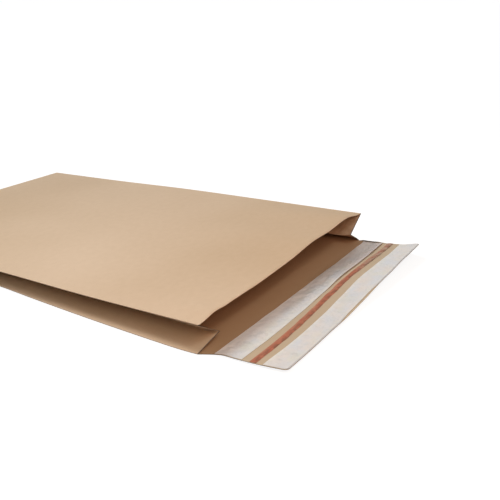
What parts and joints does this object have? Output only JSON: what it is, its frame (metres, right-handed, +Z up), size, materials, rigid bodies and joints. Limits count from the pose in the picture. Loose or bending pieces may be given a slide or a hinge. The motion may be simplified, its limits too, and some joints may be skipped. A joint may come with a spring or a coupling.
{
  "type": "paper mailing bag",
  "caption": "Flat kraft paper mailing bag with folded side gussets and a sealing flap that carries covered glue bands and a tear tape, lying with its mouth ajar.",
  "frame": {"origin": "bottom centre of the bounding box, on the surface that the bag lies on", "axes": "+X along the bag from the closed end to the mouth and flap, +Y across it towards the side where the mouth stands wider open, +Z up from the back panel to the front panel"},
  "size_m": [0.4582, 0.2532, 0.031],
  "materials": {
    "kraft": "matt uncoated brown kraft paper",
    "adhesive": "tacky pale hot-melt glue",
    "liner": "smooth silicone-coated white paper",
    "tape": "satin red film tape"
  },
  "bodies": {
    "root": {"bag": "kraft", "inner_adhesive_band": "adhesive", "inner_release_liner": "liner", "tear_tape": "tape", "outer_adhesive_band": "adhesive", "outer_release_liner": "liner"}
  },
  "joints": []
}
